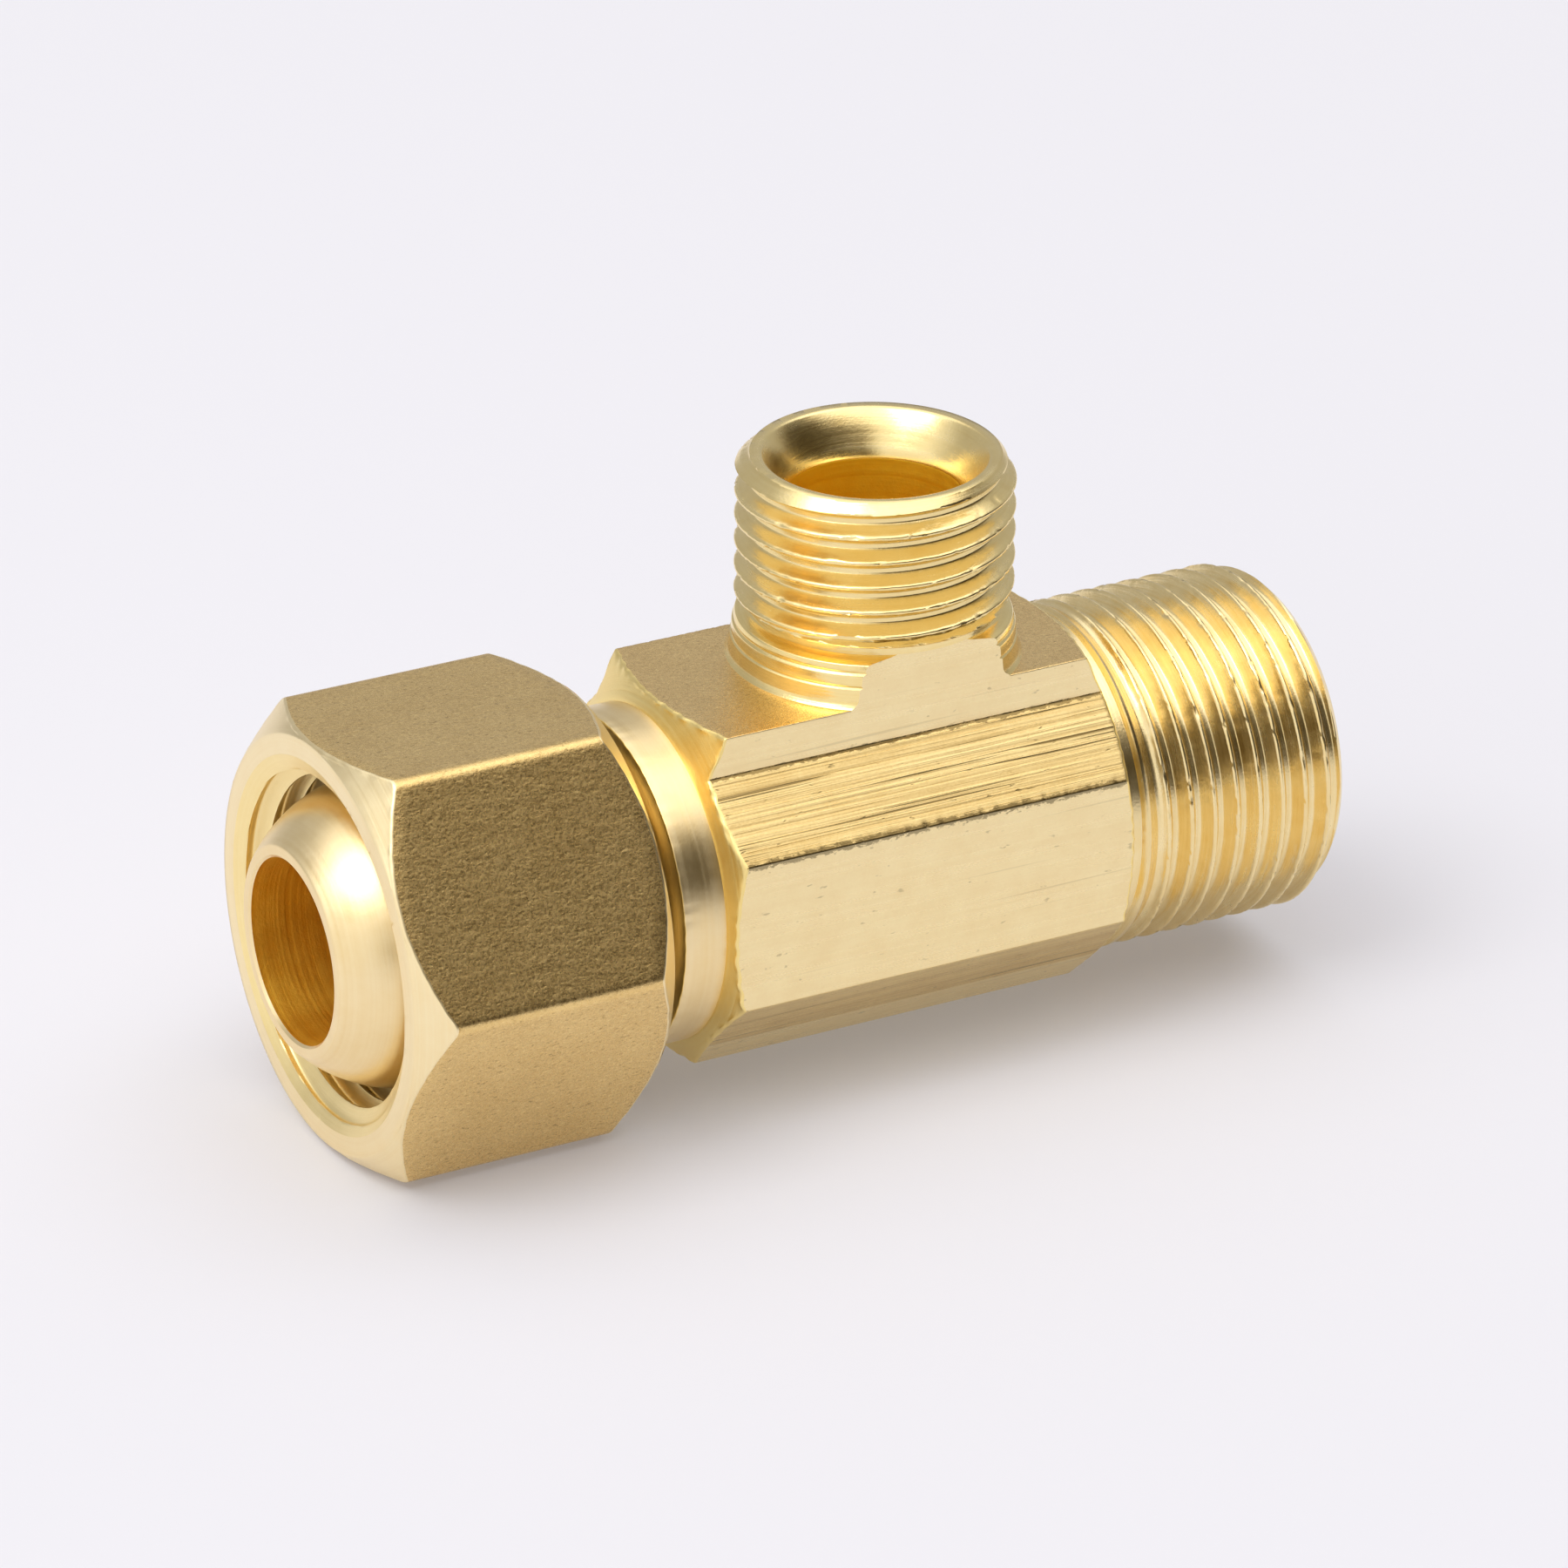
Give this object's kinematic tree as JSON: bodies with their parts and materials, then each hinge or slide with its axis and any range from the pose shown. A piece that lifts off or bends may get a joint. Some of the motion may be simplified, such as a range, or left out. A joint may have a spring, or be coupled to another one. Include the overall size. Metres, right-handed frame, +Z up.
{
  "type": "compression tee fitting",
  "caption": "Brass compression tee: ball nose inlet with captive hexagonal swivel nut, male threaded outlet in line and smaller male threaded branch.",
  "frame": {"origin": "the point where the branch axis meets the run axis, inside the run bore", "axes": "+X along the run from the swivel nut to the outlet, +Z up along the branch, +Y completes a right-handed frame"},
  "size_m": [0.0438, 0.0196, 0.0247],
  "materials": {
    "body_brass": "satin, machined, extruded flats between the turned ends",
    "nut_brass": "matt blasted flats with bright turned chamfers",
    "ring_steel": "drawn wire"
  },
  "bodies": {
    "tee": {"tee_body": "body_brass"},
    "ring": {"retaining_ring": "ring_steel"},
    "nut": {"swivel_nut": "nut_brass"}
  },
  "joints": [
    {"name": "nut_slide", "type": "slide", "parent": "tee", "child": "ring", "axis": [1, 0, 0], "range_m": [-0.0004, 0.0012]},
    {"name": "nut_spin", "type": "hinge", "parent": "ring", "child": "nut", "pos_m": [-0.01555, 0, 0], "axis": [1, 0, 0], "continuous": true}
  ]
}
